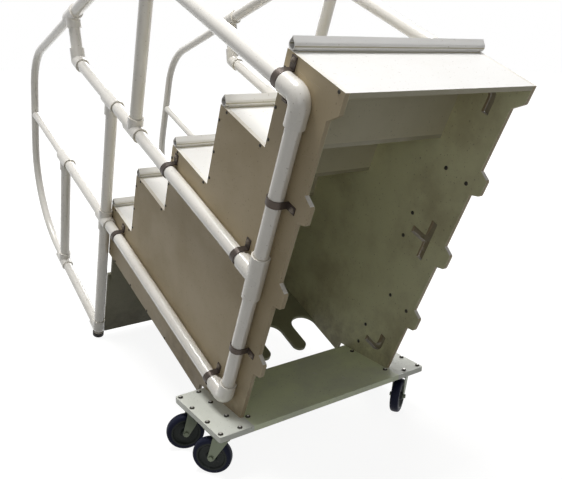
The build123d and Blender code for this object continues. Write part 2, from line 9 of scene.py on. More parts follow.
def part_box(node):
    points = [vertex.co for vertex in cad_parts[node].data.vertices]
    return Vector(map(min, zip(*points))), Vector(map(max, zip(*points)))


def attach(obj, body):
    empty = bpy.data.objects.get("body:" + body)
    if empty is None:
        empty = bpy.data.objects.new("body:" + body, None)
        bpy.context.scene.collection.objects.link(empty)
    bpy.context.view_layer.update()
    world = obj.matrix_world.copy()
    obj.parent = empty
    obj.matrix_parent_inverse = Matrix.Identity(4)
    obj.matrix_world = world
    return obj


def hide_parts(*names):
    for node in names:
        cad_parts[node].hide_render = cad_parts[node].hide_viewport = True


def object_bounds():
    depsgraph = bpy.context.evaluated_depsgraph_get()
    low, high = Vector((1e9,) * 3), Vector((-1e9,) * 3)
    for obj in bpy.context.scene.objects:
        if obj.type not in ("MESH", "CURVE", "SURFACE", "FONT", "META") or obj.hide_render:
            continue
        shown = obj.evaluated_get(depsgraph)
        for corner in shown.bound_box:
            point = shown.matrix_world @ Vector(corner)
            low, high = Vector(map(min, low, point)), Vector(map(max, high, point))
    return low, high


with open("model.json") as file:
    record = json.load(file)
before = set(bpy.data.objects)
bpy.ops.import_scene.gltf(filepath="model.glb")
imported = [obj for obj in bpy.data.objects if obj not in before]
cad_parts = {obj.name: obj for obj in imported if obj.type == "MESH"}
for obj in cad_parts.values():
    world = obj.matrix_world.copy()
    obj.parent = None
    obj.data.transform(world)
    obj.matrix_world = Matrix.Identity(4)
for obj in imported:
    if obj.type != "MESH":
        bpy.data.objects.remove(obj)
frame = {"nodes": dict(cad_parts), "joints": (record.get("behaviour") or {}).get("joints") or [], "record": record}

cad_low, cad_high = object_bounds()

# Portable pool stairs tilted back on a flat cart plate. Metres, in the frame of the CAD model:
# X across, Y the way the stairs go down, Z up from the floor.

# Sizes shared with the CAD model. Places on the stairs are (forward, up) from the rear edge of
# the top tread, along the stairs' own leaning directions.
TILT = math.radians(22.0)
TOP_EDGE = np.array([0.0, float(cad_low[1]), 1.16938])    # rear edge of the top tread
HALF_WIDTH = 0.3175           # from the middle to the panels' outer faces
SHEET = 0.0127
RISE, PITCH = 0.247, 0.231    # height of a step, and its length
TOP_DEPTH, LAST_DEPTH = 0.224, 0.192
STEPS = 5
PIPE_X = 0.3413               # from the middle to the pipes' centre lines
PIPE_RADIUS = 0.0211
SOCKET, REAR_SOCKET = 0.045, 0.070      # reach of the fittings' arms
REAR_POST, SECOND_POST, FRONT_POST, SHORT_POST = 0.104, 0.912, 1.111, 1.573
TOP_RAIL, MID_RAIL, LOW_RAIL = -0.057, -0.562, -1.056
BOTTOM_UNDERSIDE = -1.229     # of the bottom plate
KICK_MIDDLE = 1.0985          # forward, of the kick plate
STRAP_BOLT = 0.044            # from the pipe's centre line to each bolt
STRAP_TOP = 0.003             # thickness of the strap's ears

UP_STAIR = np.array([0.0, -math.sin(TILT), math.cos(TILT)])
FORWARD = np.array([0.0, math.cos(TILT), math.sin(TILT)])
ACROSS = np.array([1.0, 0.0, 0.0])
UP = np.array([0.0, 0.0, 1.0])
SIDES = ((-1, "left"), (1, "right"))


def on_stairs(x, forward, up):
    """Place on the tilted stairs: the top edge, plus x across, plus forward and up along the
    stairs' own leaning directions."""
    x, forward, up = np.broadcast_arrays(x, forward, up)
    return (TOP_EDGE + x[..., None] * ACROSS + forward[..., None] * FORWARD
            + up[..., None] * UP_STAIR)


# Mesh makers

SMOOTH_ANGLE = math.radians(40.0)      # edges sharper than this stay sharp


def add_mesh(name, points, faces, body, slot, material):
    """Makes a mesh object from points (N, 3) and lists of corners, riding on a body."""
    mesh = bpy.data.meshes.new(name)
    mesh.from_pydata(points.tolist(), [], faces)
    mesh.validate()
    mesh.update()
    mesh.shade_smooth()
    obj = bpy.data.objects.new(name, mesh)
    bpy.context.scene.collection.objects.link(obj)
    mesh.set_sharp_from_angle(angle=SMOOTH_ANGLE)
    mesh.materials.append(material)
    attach(obj, body)
    return obj


def lathe(profile, sides):
    """Surface of revolution about Z. A point of the profile (radius, height) at turn t is
    (radius cos t, radius sin t, height). A zero radius gives one closed pole."""
    profile = np.asarray(profile, dtype=float)
    turn = np.arange(sides) * (2 * math.pi / sides)
    points, rows = [], []
    count = 0
    for radius, height in profile:
        if radius == 0:
            points.append([[0.0, 0.0, height]])
            rows.append(np.full(sides, count))
            count += 1
        else:
            ring = np.stack([radius * np.cos(turn), radius * np.sin(turn),
                             np.full(sides, height)], axis=1)
            points.append(ring)
            rows.append(np.arange(sides) + count)
            count += sides
    faces = []
    for low, high in zip(rows[:-1], rows[1:]):
        quads = np.stack([low, np.roll(low, -1), np.roll(high, -1), high], axis=1)
        if low[0] == low[1]:
            faces += quads[:, [0, 2, 3]].tolist()
        elif high[0] == high[1]:
            faces += quads[:, [0, 1, 2]].tolist()
        else:
            faces += quads.tolist()
    return np.concatenate([np.asarray(part) for part in points]), faces


def closed_quads(rows, columns):
    """Quads of a grid of points that joins up both ways."""
    index = np.arange(rows * columns).reshape(rows, columns)
    ahead = np.roll(index, -1, 0)
    return np.stack([index, ahead, np.roll(ahead, -1, 1), np.roll(index, -1, 1)],
                    axis=-1).reshape(-1, 4).tolist()


def turned_ring(section, sides=48):
    """A closed section of points (radius, height), listed anticlockwise, turned about Z:
    point v at turn u is (radius v cos u, radius v sin u, height v)."""
    radius, height = np.asarray(section, dtype=float).T
    u = np.arange(sides)[:, None] * (2 * math.pi / sides)
    points = np.stack([radius * np.cos(u), radius * np.sin(u), height + 0 * u],
                      axis=-1).reshape(-1, 3)
    return points, closed_quads(sides, len(radius))


def frames_for(axis, count):
    """Rotations that send a template's Z to an axis, the same for a number of copies."""
    axis = np.asarray(axis, dtype=float)
    axis = axis / np.linalg.norm(axis)
    helper = UP if abs(axis[2]) < 0.9 else FORWARD
    side = np.cross(helper, axis)
    side /= np.linalg.norm(side)
    return np.repeat(np.stack([side, np.cross(axis, side), axis])[None], count, axis=0)


def copies(template, spots, turns):
    """Every template point turned and moved to each spot, and the faces counted on."""
    points, faces = template
    spots = np.asarray(spots, dtype=float).reshape(-1, 3)
    placed = np.einsum("pi,nij->npj", points, turns) + spots[:, None, :]
    step = len(points)
    every = [[corner + step * n for corner in face] for n in range(len(spots)) for face in faces]
    return placed.reshape(-1, 3), every


def join(*parts):
    """One mesh from several (points, faces)."""
    points, faces, count = [], [], 0
    for part_points, part_faces in parts:
        points.append(part_points)
        faces += [[corner + count for corner in face] for face in part_faces]
        count += len(part_points)
    return np.concatenate(points), faces


# Shader effects, each built once

def new_group(name, inputs, outputs):
    """Empty node group with input sockets (name, type) and outputs that are numbers."""
    tree = bpy.data.node_groups.new(name, "ShaderNodeTree")
    for label, kind in inputs:
        tree.interface.new_socket(name=label, in_out="INPUT", socket_type=kind)
    for label in outputs:
        tree.interface.new_socket(name=label, in_out="OUTPUT", socket_type="NodeSocketFloat")
    return tree, tree.nodes.new("NodeGroupInput"), tree.nodes.new("NodeGroupOutput")


def noise(tree, vector, scale, detail, roughness):
    """Noise at a vector socket, about 0.5 on average."""
    node = tree.nodes.new("ShaderNodeTexNoise")
    node.inputs["Scale"].default_value = scale
    node.inputs["Detail"].default_value = detail
    node.inputs["Roughness"].default_value = roughness
    tree.links.new(vector, node.inputs["Vector"])
    return node.outputs["Fac"]


def ramp(tree, value, low, high, result_low=0.0, result_high=1.0):
    """Smooth step from one result at low to the other at high."""
    node = tree.nodes.new("ShaderNodeMapRange")
    node.interpolation_type = "SMOOTHSTEP"
    node.inputs["From Min"].default_value = low
    node.inputs["From Max"].default_value = high
    node.inputs["To Min"].default_value = result_low
    node.inputs["To Max"].default_value = result_high
    tree.links.new(value, node.inputs["Value"])
    return node.outputs["Result"]


def math_node(tree, operation, first, second):
    """Math node on two sockets or numbers."""
    node = tree.nodes.new("ShaderNodeMath")
    node.operation = operation
    for socket, value in zip(node.inputs, (first, second)):
        if isinstance(value, (int, float)):
            socket.default_value = value
        else:
            tree.links.new(value, socket)
    return node.outputs[0]


def vector_node(tree, operation, vector, constant=None):
    """Vector math node on a socket and, where the operation takes two, a constant vector."""
    node = tree.nodes.new("ShaderNodeVectorMath")
    node.operation = operation
    if constant is not None:
        node.inputs[1].default_value = constant
    tree.links.new(vector, node.inputs[0])
    return node.outputs["Vector" if operation == "MULTIPLY" else "Value"]


def seen_by(tree, *rays):
    """1 for rays of any of the named kinds, as the Light Path node tells them apart."""
    path = tree.nodes.new("ShaderNodeLightPath")
    seen = path.outputs[rays[0]]
    for ray in rays[1:]:
        seen = math_node(tree, "MAXIMUM", seen, path.outputs[ray])
    return seen


# Noises as (scale, detail, roughness), and the values between which each mask rises
CLOUDS, CLOUD_RISE = (5.0, 6.0, 0.6), (0.38, 0.72)
GRAIN = (900.0, 2.0, 0.6)
SPECKS, SPECK_RISE = (160.0, 1.0, 0.5), (0.70, 0.76)
SMUDGES, SMUDGE_RISE = (22.0, 5.0, 0.65), (0.15, 0.62)
SCRATCHES = (3.0, 3.0, 0.5)
# Scratches that run along and that run up: how far the noise is squeezed along each axis, and
# the values between which they rise
SCRATCH_WAYS = (((60.0, 4.0, 260.0), (0.66, 0.74)), ((60.0, 260.0, 6.0), (0.68, 0.75)))


def worn_surface_group():
    """Clouds of grime, fine grain, thin scratches and small specks, each from 0 to 1."""
    tree, source, sink = new_group("worn_surface", [("Vector", "NodeSocketVector")],
                                   ["Clouds", "Grain", "Scratches", "Specks"])
    vector = source.outputs["Vector"]
    along, upward = [
        ramp(tree, noise(tree, vector_node(tree, "MULTIPLY", vector, squeeze), *SCRATCHES), *rise)
        for squeeze, rise in SCRATCH_WAYS]
    masks = {
        "Clouds": ramp(tree, noise(tree, vector, *CLOUDS), *CLOUD_RISE),
        "Grain": noise(tree, vector, *GRAIN),
        "Scratches": math_node(tree, "MAXIMUM", along, upward),
        "Specks": ramp(tree, noise(tree, vector, *SPECKS), *SPECK_RISE),
    }
    for label, mask in masks.items():
        tree.links.new(mask, sink.inputs[label])
    return tree


def low_grime_group():
    """Grime that gathers low down: 1 at the foot's height and fading upwards over the reach,
    broken by noise."""
    tree, source, sink = new_group(
        "low_grime", [("Vector", "NodeSocketVector"), ("Foot", "NodeSocketFloat"),
                      ("Reach", "NodeSocketFloat")], ["Mask"])
    parts = tree.nodes.new("ShaderNodeSeparateXYZ")
    tree.links.new(source.outputs["Vector"], parts.inputs[0])
    above = math_node(tree, "SUBTRACT", parts.outputs["Z"], source.outputs["Foot"])
    share = math_node(tree, "DIVIDE", above, source.outputs["Reach"])
    fade = math_node(tree, "SUBTRACT", 1.0, share)
    uneven = math_node(tree, "MULTIPLY", fade, noise(tree, source.outputs["Vector"], *SMUDGES))
    tree.links.new(ramp(tree, uneven, *SMUDGE_RISE), sink.inputs["Mask"])
    return tree


WORN = worn_surface_group()
LOW_GRIME = low_grime_group()


# Colour sockets of a Mix node, whose sockets share their names between data types
MIX_FIRST, MIX_SECOND, MIX_RESULT = 6, 7, 2


def mix(tree, share, first, second):
    """The second colour's share over the first; each is a socket or a linear RGB triple."""
    node = tree.nodes.new("ShaderNodeMix")
    node.data_type = "RGBA"
    for index, value in ((MIX_FIRST, first), (MIX_SECOND, second)):
        if isinstance(value, tuple):
            node.inputs[index].default_value = (*value, 1.0)
        else:
            tree.links.new(value, node.inputs[index])
    tree.links.new(share, node.inputs[0])
    return node.outputs[MIX_RESULT]


SPECK_AMOUNT = 0.5
COAT_ROUGHNESS = 0.16
GRAIN_DEPTH = 0.001
INNER_FACE = HALF_WIDTH - SHEET + 0.0004      # just outside the panels' inner faces
CHANGE_WIDTH = 0.0004         # over which a finish's inside colour gives way, across the stairs
END_WIDTH = 0.001             # the same, forward on the stairs
FACING_WIDTH = 0.01           # over which the colour of turned faces comes in, as a cosine


def painted_inside_or_outside(tree, place, inside, outside, reach, end):
    """The inside colour between the side panels, out to reach from the middle and, where end is given, as far
    forward on the stairs; elsewhere the outside colour. The inside colour is painted light in some finishes and
    painted shade in others."""
    parts = tree.nodes.new("ShaderNodeSeparateXYZ")
    tree.links.new(place, parts.inputs[0])
    aside = math_node(tree, "ABSOLUTE", parts.outputs["X"], 0.0)
    beyond = ramp(tree, aside, reach, reach + CHANGE_WIDTH)
    if end:
        limit = float(TOP_EDGE @ FORWARD) + end
        forward = vector_node(tree, "DOT_PRODUCT", place, FORWARD)
        beyond = math_node(tree, "MAXIMUM", beyond,
                           ramp(tree, forward, limit, limit + END_WIDTH))
    return mix(tree, beyond, inside, outside)


def finish_material(name, base, stain, speck, roughness, rough_spread=0.12, stain_amount=0.5,
                    scratch=None, scratch_amount=0.4, metallic=0.0, bump=0.05, low_grime=None,
                    coat=0.0, specular=0.5, inside=None, inside_reach=INNER_FACE,
                    inside_end=None, facing=None):
    """One worn finish: base colour clouded with a stain, specked and scratched, rougher where it is stained, with
    a fine grain in its bump. low_grime is its foot's height, its reach and its amount. inside is the base colour
    where it differs between the side panels, out to inside_reach from the middle and, where it is given, forward
    as far as inside_end; it is painted light and shade. facing is a direction, the base colour of the faces turned
    that way, and how nearly they must be, as a cosine; that colour is painted light and shade too."""
    material = bpy.data.materials.new(name)
    material.use_nodes = True
    tree = material.node_tree
    shader = tree.nodes["Principled BSDF"]
    shader.inputs["Metallic"].default_value = metallic
    shader.inputs["Coat Weight"].default_value = coat
    shader.inputs["Coat Roughness"].default_value = COAT_ROUGHNESS
    shader.inputs["Specular IOR Level"].default_value = specular
    coordinates = tree.nodes.new("ShaderNodeTexCoord")
    place = coordinates.outputs["Object"]
    worn = tree.nodes.new("ShaderNodeGroup")
    worn.node_tree = WORN
    tree.links.new(place, worn.inputs["Vector"])
    # Painted light and shade: a base colour of its own between the side panels
    if inside:
        base = painted_inside_or_outside(tree, place, inside, base, inside_reach, inside_end)
    # Painted light and shade: a base colour of its own on the faces turned one way
    if facing:
        way, painted_face_colour, nearness = facing
        cosine = vector_node(tree, "DOT_PRODUCT", coordinates.outputs["Normal"], way)
        painted_face_share = ramp(tree, cosine, nearness, nearness + FACING_WIDTH)
        base = mix(tree, painted_face_share, base, painted_face_colour)
    clouded = math_node(tree, "MULTIPLY", worn.outputs["Clouds"], stain_amount)
    colour = mix(tree, clouded, base, stain)
    specks = math_node(tree, "MULTIPLY", worn.outputs["Specks"], SPECK_AMOUNT)
    colour = mix(tree, specks, colour, speck)
    if scratch:
        marks = math_node(tree, "MULTIPLY", worn.outputs["Scratches"], scratch_amount)
        colour = mix(tree, marks, colour, scratch)
    if low_grime:
        foot, reach, amount = low_grime
        grime = tree.nodes.new("ShaderNodeGroup")
        grime.node_tree = LOW_GRIME
        grime.inputs["Foot"].default_value = foot
        grime.inputs["Reach"].default_value = reach
        tree.links.new(place, grime.inputs["Vector"])
        dirt = math_node(tree, "MULTIPLY", grime.outputs["Mask"], amount)
        colour = mix(tree, dirt, colour, speck)
    tree.links.new(colour, shader.inputs["Base Color"])
    spread = math_node(tree, "MULTIPLY", worn.outputs["Clouds"], rough_spread)
    tree.links.new(math_node(tree, "ADD", spread, roughness), shader.inputs["Roughness"])
    relief = tree.nodes.new("ShaderNodeBump")
    relief.inputs["Strength"].default_value = bump
    relief.inputs["Distance"].default_value = GRAIN_DEPTH
    height = math_node(tree, "SUBTRACT", worn.outputs["Grain"], worn.outputs["Scratches"])
    tree.links.new(height, relief.inputs["Height"])
    tree.links.new(relief.outputs["Normal"], shader.inputs["Normal"])
    return material


# In each: the name, the base, stain and speck colours in linear RGB, and the roughness
# Painted shade: the brown-grey base of this white sheet's outer faces. Painted light: the paler olive inside
# colour of the inner faces, tinted like their shade, and the pale colour of the edges turned up the stairs.
PANEL = finish_material("panel_sheet", (0.45, 0.37, 0.24), (0.36, 0.29, 0.18), (0.16, 0.12, 0.08),
                        0.46, scratch=(0.60, 0.54, 0.42), scratch_amount=0.25, specular=0.3,
                        low_grime=(0.17, 0.30, 0.5), inside=(0.80, 0.79, 0.53),
                        facing=(UP_STAIR, (0.80, 0.78, 0.73), 0.8))
# Painted shade: the dark colour of the tread faces turned to the rear, at their back edges and the backs of the
# nosings.
TREAD = finish_material("tread_sheet", (0.80, 0.79, 0.77), (0.73, 0.71, 0.66), (0.44, 0.40, 0.33),
                        0.42, stain_amount=0.3, scratch=(0.70, 0.67, 0.60),
                        scratch_amount=0.3, low_grime=(0.0, 0.22, 0.5),
                        facing=(-FORWARD, (0.36, 0.33, 0.22), 0.985))
# Painted shade: the olive-grey base of this white sheet, for the risers' shaded backs.
RISER = finish_material("riser_sheet", (0.57, 0.53, 0.39), (0.45, 0.41, 0.29), (0.18, 0.16, 0.11),
                        0.46, stain_amount=0.4, scratch=(0.68, 0.64, 0.54),
                        scratch_amount=0.25, specular=0.3)
# Painted shade: the dark olive base of this white sheet, for the bottom plate in the stairs' shade.
BOTTOM = finish_material("bottom_sheet", (0.30, 0.30, 0.19), (0.22, 0.21, 0.13),
                         (0.10, 0.09, 0.06), 0.46, stain_amount=0.4,
                         scratch=(0.50, 0.48, 0.38), scratch_amount=0.25, specular=0.3)
# Painted shade: the dark base of this white sheet, for the kick and toe plates.
PLATE = finish_material("foot_plate", (0.23, 0.22, 0.155), (0.16, 0.15, 0.10),
                        (0.06, 0.05, 0.035), 0.44, stain_amount=0.5,
                        scratch=(0.40, 0.38, 0.30), scratch_amount=0.3,
                        low_grime=(0.0, 0.30, 0.6), specular=0.25)
# Painted light: the paler inside colour between the panels, where the stairs shade the plate.
CART = finish_material("cart_sheet", (0.76, 0.78, 0.71), (0.60, 0.61, 0.53), (0.20, 0.19, 0.14),
                       0.40, scratch=(0.82, 0.83, 0.79), scratch_amount=0.5, stain_amount=0.6,
                       inside=(0.84, 0.90, 0.64))
PIPE = finish_material("white_pipe", (0.84, 0.81, 0.75), (0.66, 0.62, 0.54), (0.34, 0.30, 0.23),
                       0.20, stain_amount=0.35, bump=0.02, coat=0.8,
                       low_grime=(0.0, 0.35, 0.4))
# Painted shade: the dark inside colour on the backs of the rear fittings, sunk in the panels' cut-outs.
FITTING = finish_material("white_fitting", (0.81, 0.78, 0.72), (0.63, 0.59, 0.50),
                          (0.30, 0.26, 0.19), 0.24, stain_amount=0.4, bump=0.03, coat=0.8,
                          low_grime=(0.0, 0.35, 0.4), inside=(0.34, 0.29, 0.20),
                          inside_reach=HALF_WIDTH + 0.002, inside_end=0.3)
JOINT_LINE = finish_material("joint_line", (0.40, 0.37, 0.30), (0.27, 0.24, 0.18),
                             (0.10, 0.08, 0.06), 0.6, bump=0.1)
STRAP = finish_material("strap_steel", (0.060, 0.046, 0.038), (0.12, 0.09, 0.065),
                        (0.03, 0.02, 0.02), 0.38, metallic=0.5, bump=0.15)
ZINC = finish_material("plated_steel", (0.15, 0.17, 0.12), (0.10, 0.11, 0.08),
                       (0.05, 0.045, 0.035), 0.38, metallic=0.6, bump=0.08)
BRIGHT = finish_material("bright_bolt", (0.72, 0.71, 0.68), (0.42, 0.40, 0.36),
                         (0.10, 0.08, 0.06), 0.28, metallic=0.9, bump=0.04)
STRAP_BOLT_STEEL = finish_material("strap_bolt", (0.20, 0.17, 0.14), (0.12, 0.09, 0.065),
                                   (0.04, 0.03, 0.02), 0.5, metallic=0.5, bump=0.04)
DARK_SCREW = finish_material("dark_screw", (0.045, 0.042, 0.034), (0.08, 0.065, 0.05),
                             (0.02, 0.02, 0.02), 0.45, metallic=0.3, bump=0.1, specular=0.3)
TYRE = finish_material("tyre_rubber", (0.006, 0.008, 0.024), (0.012, 0.013, 0.025),
                       (0.05, 0.05, 0.05), 0.45, bump=0.08, rough_spread=0.2, specular=0.12)
HUB = finish_material("hub_plastic", (0.012, 0.016, 0.014), (0.024, 0.027, 0.022),
                      (0.08, 0.07, 0.06), 0.40, bump=0.08, specular=0.2)
CAP = finish_material("cap_rubber", (0.014, 0.013, 0.013), (0.04, 0.036, 0.032),
                      (0.12, 0.11, 0.10), 0.60, bump=0.2, specular=0.25)

# Finish of each material slot, and of nodes whose names start so
SLOT_FINISH = {
    "panel_sheet": PANEL, "tread_sheet": TREAD, "cart_sheet": CART, "white_pipe": PIPE,
    "strap_steel": STRAP, "plated_steel": ZINC, "hub_plastic": HUB, "tyre_rubber": TYRE,
    "cap_rubber": CAP,
}
# The riser, bottom, kick and toe plate finishes carry painted shade in their base colours, and the fittings carry
# painted shade on their backs.
NODE_FINISH = {"pipe_fittings": FITTING, "riser": RISER, "bottom_plate": BOTTOM,
               "kick_plate": PLATE, "toe_plate": PLATE}

for entry in frame["record"]["subparts"]:
    node = frame["nodes"][entry["node"]]
    finish = SLOT_FINISH[entry["material_slot"]]
    for start, special in NODE_FINISH.items():
        if entry["node"].startswith(start):
            finish = special
    node.data.materials.clear()
    node.data.materials.append(finish)


# Rings of sheet that close the side panels' cut-outs round the backs of the rear fittings

RELIEF_HALF, RELIEF_REACH = 0.0294, 0.0729      # a tenth of a millimetre inside the cut-outs
RELIEF_ROUNDING = 0.008
SEAT_HALF, SEAT_REACH = 0.0130, 0.0710          # round what a fitting's back sinks in
SEAT_ROUNDING = 0.003
ELBOW_BEND = 0.030

# Height of the fitting; its corners (forward, up), where 1 is at an arm's side and 2 at its
# end; and the corners at an elbow's bend, 1 for outside and -1 for inside
SEATS = [
    (TOP_RAIL, [(-1, 1), (2, 1), (2, -1), (1, -1), (1, -2), (-1, -2)], [(0, 1), (3, -1)]),
    (MID_RAIL, [(-1, 2), (1, 2), (1, 1), (2, 1), (2, -1), (1, -1), (1, -2), (-1, -2)], []),
    (LOW_RAIL, [(-1, 2), (1, 2), (1, 1), (2, 1), (2, -1), (-1, -1)], [(5, 1), (2, -1)]),
]
ARC_POINTS = 7                # of each rounded corner


def rounded(corners, roundings):
    """Outline with right-angled corners rounded: at each, the arc's centre less its rounding
    times (cos t ahead + sin t back), as t goes from 0 to 90 degrees, where ahead and back are
    the ways to the next corner and the last."""
    ahead = np.roll(corners, -1, 0) - corners
    back = np.roll(corners, 1, 0) - corners
    ahead /= np.linalg.norm(ahead, axis=1, keepdims=True)
    back /= np.linalg.norm(back, axis=1, keepdims=True)
    size = np.asarray(roundings)[:, None]
    centre = corners + size * (ahead + back)
    t = np.linspace(0, math.pi / 2, ARC_POINTS)[:, None]
    arcs = centre[:, None] - size[:, None] * (np.cos(t) * ahead[:, None]
                                              + np.sin(t) * back[:, None])
    return arcs.reshape(-1, 2)


def seat_ring(side, height, corners, bends):
    """Ring of sheet: from the cut-out's outline in to the outline that the fitting needs, on
    both faces of the panel."""
    corners = np.array(corners, dtype=float)
    ends = np.abs(corners) == 2
    seat_roundings = np.full(len(corners), SEAT_ROUNDING)
    for corner, way in bends:
        seat_roundings[corner] = ELBOW_BEND + way * SEAT_HALF
    edge = rounded(np.sign(corners) * np.where(ends, RELIEF_REACH, RELIEF_HALF),
                   np.full(len(corners), RELIEF_ROUNDING))
    seat = rounded(np.sign(corners) * np.where(ends, SEAT_REACH, SEAT_HALF), seat_roundings)
    low, high = sorted((side * HALF_WIDTH, side * (HALF_WIDTH - SHEET)))
    rings = [on_stairs(x, REAR_POST + line[:, 0], height + line[:, 1])
             for x, line in ((low, edge), (low, seat), (high, seat), (high, edge))]
    return np.stack(rings, axis=1).reshape(-1, 3), closed_quads(len(edge), len(rings))


for side, label in SIDES:
    add_mesh("fitting_seats_" + label, *join(*[seat_ring(side, *row) for row in SEATS]),
             "stairs", "panel_sheet", PANEL)


# Fasteners: profiles are (radius, height) about the fastener's own axis

def hexagon(across_flats):
    """Radius to the corners of a hexagon."""
    return across_flats / math.sqrt(3)


def nut(across_flats, height, stud, stud_height):
    """Chamfered hex nut on a washer, and the end of its stud."""
    corner = hexagon(across_flats)
    washer = lathe([(corner * 1.22, 0.0), (corner * 1.22, 0.0012), (corner * 1.15, 0.0016),
                    (0, 0.0016)], 24)
    body = lathe([(corner, 0.0014), (corner, height * 0.8), (corner * 0.86, height),
                  (stud * 1.05, height), (0, height * 0.9)], 6)
    tail = lathe([(stud, height * 0.8), (stud, stud_height - stud * 0.25),
                  (stud * 0.75, stud_height), (0, stud_height)], 16)
    return join(washer, body), tail


def pan_head(radius, height):
    """Low domed screw head with a shallow recess in its crown."""
    turn = np.linspace(0, math.pi / 2, 5)
    dome = [(radius * math.cos(t), height * (0.25 + 0.75 * math.sin(t))) for t in turn[:-1]]
    crown = [(radius * 0.34, height * 0.97), (radius * 0.22, height * 0.55),
             (0, height * 0.5)]
    return lathe([(radius, 0.0), *dome, *crown], 20)


def nose_at(step):
    """Distance forward of a tread's front edge."""
    if step == STEPS:
        return nose_at(step - 1) + LAST_DEPTH
    return TOP_DEPTH + (step - 1) * PITCH


SCREW_FROM_REAR = 0.020
FROM_NOSE = 0.036             # of a tread's front screw, and of the strap below the third tread
RISER_SCREW_DROPS = (0.036, 0.132, 0.216)
BOTTOM_SCREWS = (0.56, 0.72, 0.88, 1.04)
KICK_SCREWS = (-1.04, -1.13, -1.20)


def panel_screw_places():
    """(forward, up) of the screws into the edges of treads and risers."""
    places = []
    for step in range(1, STEPS + 1):
        rear = 0.0 if step == 1 else nose_at(step - 1)
        top = -(step - 1) * RISE - SHEET / 2
        places += [(rear + SCREW_FROM_REAR, top), (nose_at(step) - FROM_NOSE, top)]
        if step < STEPS:
            face = nose_at(step) - SHEET / 2
            places += [(face, top - drop) for drop in RISER_SCREW_DROPS]
    return np.array(places)


def foot_screw_places():
    """(forward, up) of the screws into the edges of the bottom plate and the kick plate."""
    along = [(forward, BOTTOM_UNDERSIDE + SHEET / 2) for forward in BOTTOM_SCREWS]
    down = [(KICK_MIDDLE, up) for up in KICK_SCREWS]
    return np.array(along + down)


SCREW = pan_head(radius=0.0046, height=0.0026)
screw_places = np.concatenate([panel_screw_places(), foot_screw_places()])
for side, label in SIDES:
    spots = on_stairs(side * HALF_WIDTH, screw_places[:, 0], screw_places[:, 1])
    screws = copies(SCREW, spots, frames_for(side * ACROSS, len(spots)))
    add_mesh("panel_screws_" + label, *screws, "stairs", "plated_steel", DARK_SCREW)

# Strap bolts: (forward, up, 1 on a post or 0 on a rail) for each strap, as in the CAD model
STRAPS = [
    (REAR_POST + 0.085, TOP_RAIL, 0), (REAR_POST, -0.324, 1), (REAR_POST + 0.094, MID_RAIL, 0),
    (nose_at(3) - FROM_NOSE, MID_RAIL, 0), (REAR_POST, -0.827, 1),
    (REAR_POST + 0.094, LOW_RAIL, 0), (FRONT_POST - 0.126, LOW_RAIL, 0),
]


def strap_bolt_places():
    """(forward, up) of the two bolts of each strap, either side of its pipe."""
    strap = np.array(STRAPS)
    aside = np.stack([strap[:, 2], 1 - strap[:, 2]], axis=1) * STRAP_BOLT
    return np.concatenate([strap[:, :2] + aside, strap[:, :2] - aside])


STRAP_NUT = join(*nut(across_flats=0.0100, height=0.0050, stud=0.0030, stud_height=0.0075))
INNER_HEAD = pan_head(radius=0.0065, height=0.0032)
bolts = strap_bolt_places()
for side, label in SIDES:
    outer = on_stairs(side * (HALF_WIDTH + STRAP_TOP), bolts[:, 0], bolts[:, 1])
    inner = on_stairs(side * (HALF_WIDTH - SHEET), bolts[:, 0], bolts[:, 1])
    add_mesh("strap_nuts_" + label,
             *copies(STRAP_NUT, outer, frames_for(side * ACROSS, len(outer))),
             "stairs", "plated_steel", STRAP_BOLT_STEEL)
    add_mesh("strap_bolt_heads_" + label,
             *copies(INNER_HEAD, inner, frames_for(-side * ACROSS, len(inner))),
             "stairs", "plated_steel", DARK_SCREW)

# Joint lines round the mouths of the pipe fittings: (forward, up, direction in degrees)
MOUTHS = [
    (REAR_POST + REAR_SOCKET, TOP_RAIL, 0), (REAR_POST, TOP_RAIL - REAR_SOCKET, 90),
    (REAR_POST, MID_RAIL + REAR_SOCKET, 90), (REAR_POST, MID_RAIL - REAR_SOCKET, 90),
    (REAR_POST + REAR_SOCKET, MID_RAIL, 0), (REAR_POST, LOW_RAIL + REAR_SOCKET, 90),
    (REAR_POST + REAR_SOCKET, LOW_RAIL, 0),
    (SECOND_POST - SOCKET, TOP_RAIL, 0), (SECOND_POST + SOCKET, TOP_RAIL, 0),
    (SECOND_POST, TOP_RAIL - SOCKET, 90), (SECOND_POST - SOCKET, MID_RAIL, 0),
    (SECOND_POST + SOCKET, MID_RAIL, 0), (SECOND_POST, MID_RAIL + SOCKET, 90),
    (FRONT_POST - SOCKET, MID_RAIL, 0), (FRONT_POST + SOCKET, MID_RAIL, 0),
    (FRONT_POST, MID_RAIL - SOCKET, 90), (FRONT_POST, LOW_RAIL + SOCKET, 90),
    (FRONT_POST, LOW_RAIL - SOCKET, 90), (FRONT_POST - SOCKET, LOW_RAIL, 0),
    (FRONT_POST + SOCKET, LOW_RAIL, 0), (SHORT_POST - SOCKET, LOW_RAIL, 0),
    (SHORT_POST + SOCKET, LOW_RAIL, 0), (SHORT_POST, LOW_RAIL - SOCKET, 90),
]

LINE_RADIUS, LINE_CLEARANCE = 0.0007, 0.0006
ROUND = np.arange(8) * (2 * math.pi / 8)
MOUTH_RING = turned_ring(
    np.stack([PIPE_RADIUS + LINE_CLEARANCE + LINE_RADIUS * np.cos(ROUND),
              LINE_RADIUS * np.sin(ROUND)], axis=1))
for side, label in SIDES:
    parts = []
    for forward, up, angle in MOUTHS:
        turn = math.radians(angle)
        axis = math.cos(turn) * FORWARD + math.sin(turn) * UP_STAIR
        spot = on_stairs(side * PIPE_X, forward, up)
        parts.append(copies(MOUTH_RING, spot, frames_for(axis, 1)))
    add_mesh("joint_lines_" + label, *join(*parts), "stairs", "white_pipe", JOINT_LINE)

# Caster wheels: a round tyre on a dished hub, turned about each axle

